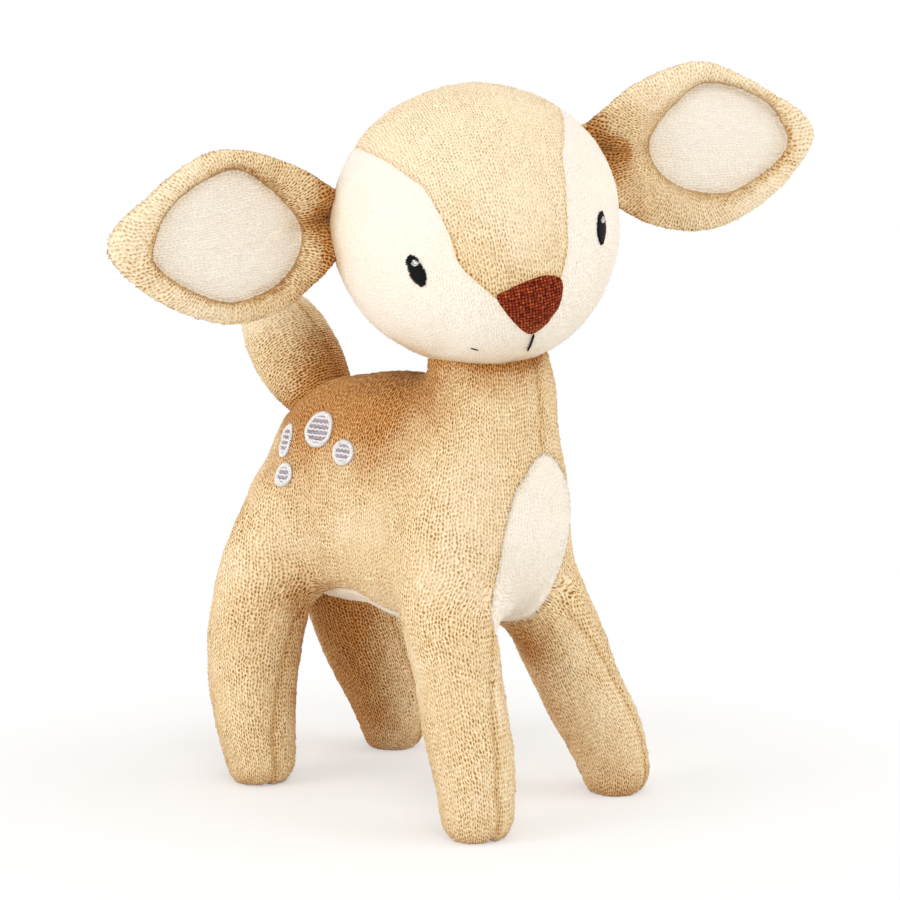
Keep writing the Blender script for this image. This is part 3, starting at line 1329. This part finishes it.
def ear_frame(name):
    """An ear's joint, and the ways along it, up across it and forward, in the fawn's frame."""
    side, lift = SIDES[name], EAR_LIFTS[name]
    turned = HEAD_TURN @ rotation(-side * EAR_SWEEP, "Z")
    ways = (
        (side * math.cos(lift), 0.0, math.sin(lift)), (-side * math.sin(lift), 0.0, math.cos(lift)),
        (0.0, -1.0, 0.0),
    )
    return JOINTS[f"ear_{name}_flap"] - OFFSET, *(turned @ np.array(way) for way in ways)


def flat_leaf(outline, pitch):
    """Triangles that fill an outline in a plane."""
    low, high = outline.min(axis=0) - 2 * pitch, outline.max(axis=0) + 2 * pitch
    x, y = np.meshgrid(*(np.arange(low[k], high[k], pitch) for k in range(2)), indexing="ij")
    flat = np.stack((x.ravel(), y.ravel(), np.zeros(x.size)), axis=1)
    index = np.arange(x.size).reshape(x.shape)
    corners = (index[:-1, :-1], index[1:, :-1], index[1:, 1:], index[:-1, 1:])
    a, b, c, d = (corner.ravel() for corner in corners)
    leaf = Skin(flat, np.concatenate((np.stack((a, b, c), 1), np.stack((a, c, d), 1))), "leaf")
    leaf.split(lambda places: outline_distance(places[:, :2], outline), "leaf", "off", "leaf")
    leaf.drop("off")
    used, faces = np.unique(leaf.triangles, return_inverse=True)
    return leaf.points[used][:, :2], faces.reshape(-1, 3)


def crowd_edge(places, outline):
    """Draw places near the outline closer to it, so that its round edge is finely meshed."""
    inside = outline_distance(places, outline)
    crowded = CROWD_REACH * (np.maximum(inside, 0.0) / CROWD_REACH) ** 1.6
    wanted = np.where(inside < CROWD_REACH, crowded, inside)
    slope = slopes(lambda moved: outline_distance(moved, outline), places, inside)
    return places - slope * (inside - wanted)[:, None]


def swell(distance, reach):
    """A rise from 0 at an edge to 1 inside it, round at the edge."""
    return np.sqrt(np.clip(1 - np.exp(-np.maximum(distance, 0.0) / reach), 0.0, 1.0))


def ear_shape(name):
    """An ear's points, its front and back triangles, and how far inside the patch its front is."""
    outline = smooth_curve(EAR_OUTLINE, 4, True)
    patch = smooth_curve(PATCH_OUTLINE, 4, True)
    patch = (patch - PATCH_CENTRE) * PATCH_SCALES[name] + PATCH_CENTRE + PATCH_SHIFTS[name]
    places, faces = flat_leaf(outline, EAR_PITCH)
    places = crowd_edge(places, outline)
    along, up = places.T
    edge = outline_distance(places, outline)
    within = outline_distance(places, patch)
    root = smooth_step(PINCH_LENGTH, 2.0, along)

    # The front: a rim that swells halfway between the edge and the patch, and falls in at the root
    share = np.clip(edge / np.maximum(edge + np.maximum(-within, 0.0), 0.1), 0.0, 1.0)
    rim = np.sqrt(np.clip(1 - (2 * np.minimum(share, 0.5) - 1) ** 2, 0.0, 1.0))
    rim *= EAR_RIM_HEIGHT * (0.5 + 0.5 * np.cos(np.pi * np.maximum(2 * share - 1, 0.0) ** 2.2))
    crown = PATCH_CROWN * (1 - np.exp(-np.maximum(within, 0.0) / 5.0))
    front = np.where(within > 0, crown, rim) * (1 - root)
    front += root * EAR_ROOT_HEIGHT * swell(edge, EAR_ROOT_ROUND)
    front *= 1 - PINCH_DEPTH * root * np.exp(-(up / PINCH_WIDTH) ** 2)
    back = -EAR_BACK_HEIGHT * swell(edge, EAR_BACK_ROUND / 2)

    # The whole ear curls at its root and bows beyond it
    bend = root * (EAR_CURL * (np.abs(up) / 12.0) ** 1.5 - EAR_ROOT_BACK)
    bend += (EAR_CUP * (up / 28.0) ** 2 - EAR_BOW * ((along - EAR_MIDDLE) / 44.0) ** 2) * (1 - root)
    origin, way, high, forward = ear_frame(name)
    flat = origin + np.outer(along, way) + np.outer(up, high)
    border = edge < 1e-4
    sides = (np.where(border, 0.0, front), back)
    points = np.concatenate([flat + np.outer(depth + bend, forward) for depth in sides])
    facing = faces if name == "left" else faces[:, ::-1]
    turned = facing[:, ::-1]
    turned = np.where(border[turned], turned, turned + len(places))
    return points, facing, turned, within


def add_ear(name, shape, shelter, materials):
    """An ear: a padded rim round an inset patch, gathered at its root, with a plain back."""
    points, facing, turned, within = shape
    origin, way, high, _ = ear_frame(name)
    rim, patch = f"ear_{name}_rim", f"ear_{name}_inner"
    skin = Skin(points, np.concatenate((facing, turned)), rim)
    skin.panels[len(facing):] = skin.number(f"ear_{name}_back")
    # The front's points come first, in the order of the distances
    skin.split(lambda front: within, rim, rim, patch)
    seams = skin.seam_points({})
    local = skin.points - origin
    a, b = local @ way, local @ high
    ahead = a - EAR_MIDDLE
    inside = skin.touched((patch,))
    angle, reach = np.arctan2(b, ahead), np.hypot(b, ahead)
    pile = knit(np.where(inside, b, angle * EAR_PILE_RADIUS), np.where(inside, a, reach))
    values = dress("ear", skin, shelter, pile, seams)
    values["shade"] += ROOT_SHADE * np.exp(-(a / 15.0) ** 2) - EAR_PALE[name]
    values["shade"] += PINCH_SHADE * np.exp(-(b / 3.5) ** 2 - (a / 18.0) ** 2)
    nap = np.outer(ahead, way) + np.outer(b, high) + way * 4.0
    panels = add_panels(skin, values, seams, nap, materials)
    blend(panels.values(), "head", f"ear_{name}", origin, origin + way * EAR_BEND_END)


def tube(path, radius, sides=6):
    """Points and triangles of a round thread along a path, tapered at both ends."""
    path = np.asarray(path, float)
    way = unit(np.gradient(path, axis=0))
    first = unit(np.cross(way, (0.13, 0.21, 0.97)))
    second = np.cross(way, first)
    sizes = np.full((len(path), 1, 1), radius)
    sizes[[0, -1]] *= 0.55
    turns = (np.arange(sides) * math.tau / sides)[:, None]
    rings = path[:, None] + sizes * (first[:, None] * np.cos(turns) + second[:, None] * np.sin(turns))
    index = np.arange(len(path) * sides).reshape(-1, sides)
    after = np.roll(index, -1, axis=1)
    faces = (
        (index[:-1], after[:-1], after[1:]), (index[:-1], after[1:], index[1:]),
        (after[0], index[0], np.full(sides, index.size)),
        (index[-1], after[-1], np.full(sides, index.size + 1)),
    )
    faces = np.concatenate([np.stack([corner.ravel() for corner in face], axis=1) for face in faces])
    return np.concatenate((rings.reshape(-1, 3), path[:1], path[-1:])), faces


def sew(name, paths, radius, slot, materials, body):
    """Many threads as one piece, which follows a body."""
    points, faces = joined([tube(path, radius) for path in paths])
    piece = add_piece(name, points, faces, {}, materials[slot])
    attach(piece, body)
    return piece


class Cloth:
    """Finds places on a dressed skin, so that stitches lie on it."""

    def __init__(self, skin):
        self.tree = BVHTree.FromPolygons(skin.points.tolist(), skin.triangles.tolist())

    def under(self, start, way, lift):
        """The place that a ray from start meets, raised off the cloth."""
        place, normal, _, _ = self.tree.ray_cast(Vector(start), Vector(way))
        if place is None:
            place, normal, _, _ = self.tree.find_nearest(Vector(start))
        return np.array(place) - np.array(way) * lift


def add_spots(skin, materials):
    """Satin-stitched ovals with white borders on both haunches."""
    cloth = Cloth(skin)
    chance = np.random.default_rng(4)
    for (number, spot), (name, side) in product(enumerate(SPOTS, 1), SIDES.items()):
        y, z, half_length, half_height = spot

        def at(u, v, lift):
            return cloth.under((side * SPOT_START, y + u, z + v), (-side, 0.0, 0.0), lift)

        def oval(turn, grow):
            ways = np.array((math.cos(turn), math.sin(turn)))
            return ways * (half_length + grow, half_height + grow)

        fill, pale, border = [], [], []
        inner_length, inner_height = half_length - SPOT_BORDER * 0.7, half_height - SPOT_BORDER * 0.7
        rows = max(3, round(2 * inner_height / SPOT_THREAD_PITCH))
        for row in range(rows):
            v = inner_height * (2 * (row + 0.5) / rows - 1)
            reach = inner_length * math.sqrt(max(0.0, 1 - (v / inner_height) ** 2)) + 0.2
            bow = chance.uniform(-0.35, 0.35)
            fill.append([
                at(u * reach, v + bow * math.sin(3 * u + row), SPOT_LIFT) for u in np.linspace(-1, 1, 8)
            ])
            if row % 3 == 1:
                pale.append([
                    at(u * reach, v + 0.24 * math.sin(2.6 * half_length * u + row * 1.9), SPOT_TOP)
                    for u in np.linspace(-1, 1, 16)
                ])
        count = round(math.tau * (half_length + half_height) / 2 / SPOT_BORDER_PITCH)
        for turn in np.arange(count) * math.tau / count:
            near, far = oval(turn, -SPOT_BORDER), oval(turn + SPOT_BORDER_SLANT, 0.2)
            border.append([
                at(*(near * (1 - t) + far * t), SPOT_LIFT + STITCH_ARCH * math.sin(math.pi * t))
                for t in (0.0, 0.33, 0.67, 1.0)
            ])
        node = f"spot_{name}_{number}"
        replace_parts(sew(node, fill, SPOT_THREAD_RADIUS, "lilac_thread", materials, "torso"), node)
        sew(node + "_border", border + pale, SPOT_BORDER_RADIUS, "white_thread", materials, "torso")


def add_face(skin, materials):
    """The eyes with their glints, the mouth and the smile."""
    cloth = Cloth(skin)
    way = HEAD_TURN @ np.array((0.0, 1.0, 0.0))

    def at(x, z, lift):
        return cloth.under(from_head((x, -80.0, z)), way, lift)

    def embroider(node, paths, radius, slot):
        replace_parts(sew(node, paths, radius, slot, materials, "head"), node)

    chance = np.random.default_rng(9)
    for name, side in SIDES.items():
        turn = rotation(-side * EYE_SLANT, "Z")[:2, :2]
        centre = np.array((side * EYE_PLACE[0], EYE_PLACE[1]))
        rows, shine = [], []
        for row in range(EYE_THREADS):
            v = EYE_HALF_HEIGHT * (2 * (row + 0.5) / EYE_THREADS - 1)
            reach = EYE_HALF_WIDTH * math.sqrt(1 - (v / EYE_HALF_HEIGHT) ** 2)
            reach += chance.uniform(-0.1, 0.25)
            rows.append([
                at(*(centre + turn @ (u * reach, v + 0.25 * u)), EYE_LIFT + STITCH_ARCH * (1 - u * u))
                for u in np.linspace(-1, 1, 7)
            ])
        for row, share in enumerate(GLINT_ROWS):
            v = GLINT_RISE + (row - 1) * GLINT_PITCH
            shift = 0.35 + 0.12 * (row % 2)
            places = [
                (shift + u * GLINT_HALF_WIDTH * share, v + 0.16 * math.sin(5 * u + row))
                for u in np.linspace(-1, 1, 5)
            ]
            shine.append([at(*(centre + turn @ place), GLINT_LIFT) for place in places])
        embroider(f"eye_{name}", rows, THREAD_RADIUS, "black_thread")
        embroider(f"eye_glint_{name}", shine, FINE_THREAD_RADIUS, "white_thread")
    mouth = [at(0.6 - 0.9 * t, MOUTH_TOP - MOUTH_LENGTH * t, 0.8) for t in np.linspace(0, 1, 9)]
    embroider("mouth_line", [mouth], THREAD_RADIUS, "black_thread")
    x, z = SMILE_PLACE
    smile = [at(-x - SMILE_LENGTH * t, z + 1.1 * t, 0.2) for t in np.linspace(-0.5, 0.5, 5)]
    embroider("smile_stitch_right", [smile], FINE_THREAD_RADIUS, "black_thread")


def add_studio():
    """A pale floor, soft lights and a white world."""
    corners = [(x * FLOOR_REACH, y * FLOOR_REACH, 0.0) for x, y in ((-1, -1), (1, -1), (1, 1), (-1, 1))]
    mesh = bpy.data.meshes.new("floor")
    mesh.from_pydata(corners, [], [(0, 1, 2, 3)])
    floor = bpy.data.objects.new("floor", mesh)
    bpy.context.collection.objects.link(floor)
    shader = Shader(bpy.data.materials.new("floor"))
    shader.cover(FLOOR_COLOUR, {"Roughness": 0.9, "Specular IOR Level": 0.0})
    fade = shader.length(shader.place()).ramp(*FLOOR_FADE, FLOOR_LIFT, 1.0)
    glow = shader.node("Emission", {"Color": PURE_WHITE})
    matt = Signal(shader, shader.surface.outputs[0])
    shader.show_directly("Material Output", fade, matt, glow)
    mesh.materials.append(shader.owner)
    sky = Shader(bpy.data.worlds.new("studio"))
    bpy.context.scene.world = sky.owner
    plain = sky.tree.nodes["Background"]
    sky.put(plain.inputs["Color"], SKY_COLOUR)
    sky.put(plain.inputs["Strength"], WORLD_LEVEL)
    white = sky.node("Background", {"Color": PURE_WHITE})
    sky.show_directly("World Output", 1.0, Signal(sky, plain.outputs[0]), white)
    for name, place, size, power, colour in LAMPS:
        data = bpy.data.lights.new(name, "AREA")
        data.energy, data.size, data.color = power, size, colour
        lamp = bpy.data.objects.new(name, data)
        lamp.location = place
        lamp.rotation_euler = (Vector(LAMP_TARGET) - Vector(place)).to_track_quat("-Z", "Y").to_euler()
        bpy.context.collection.objects.link(lamp)


def add_camera():
    """The photograph's camera, aimed so that the target falls on its pixel."""
    level = math.cos(CAMERA_ELEVATION)
    back = Vector((
        math.sin(CAMERA_AZIMUTH) * level, -math.cos(CAMERA_AZIMUTH) * level, math.sin(CAMERA_ELEVATION),
    ))
    target = Vector((0.0, 0.0, CAMERA_TARGET_HEIGHT)) + Vector(OFFSET)
    data = bpy.data.cameras.new("camera")
    data.lens = CAMERA_LENS
    data.sensor_width = SENSOR
    data.shift_x = (IMAGE_SIZE / 2 - TARGET_PIXEL[0]) / IMAGE_SIZE
    data.shift_y = (TARGET_PIXEL[1] - IMAGE_SIZE / 2) / IMAGE_SIZE
    data.clip_end = 20.0
    camera = bpy.data.objects.new("camera", data)
    camera.location = (target + back * CAMERA_DISTANCE) * MM
    camera.rotation_euler = (-back).to_track_quat("-Z", "Y").to_euler()
    bpy.context.collection.objects.link(camera)
    bpy.context.scene.camera = camera


def main():
    materials = {
        "sandy_pile": pile_material("sandy_pile", SANDY, 1.0),
        "cream_pile": pile_material("cream_pile", CREAM, 0.34),
        "black_thread": thread_material("black_thread", BLACK, 0.6, 0.0),
        "white_thread": thread_material("white_thread", WHITE, 0.55, 0.3),
        "lilac_thread": thread_material("lilac_thread", LILAC, 0.5, 0.3),
        "russet_weave": weave_material("russet_weave"),
    }
    body = surface(body_field, *BODY_BOX)
    tail = surface(tail_field, *TAIL_BOX)
    head = surface(head_field, HEAD_CENTRE - HEAD_REACH, HEAD_CENTRE + HEAD_REACH)
    ears = {name: ear_shape(name) for name in SIDES}
    shelter = Shelter([body, tail, head] + [ear[:2] for ear in ears.values()])
    body_skin = add_body(body, shelter, materials)
    add_tail(tail, shelter, materials)
    head_skin = add_head(head, shelter, materials)
    for name, ear in ears.items():
        add_ear(name, ear, shelter, materials)
    add_spots(body_skin, materials)
    add_face(head_skin, materials)
    add_studio()
    add_camera()
    bpy.context.scene.view_settings.view_transform = "Standard"


main()
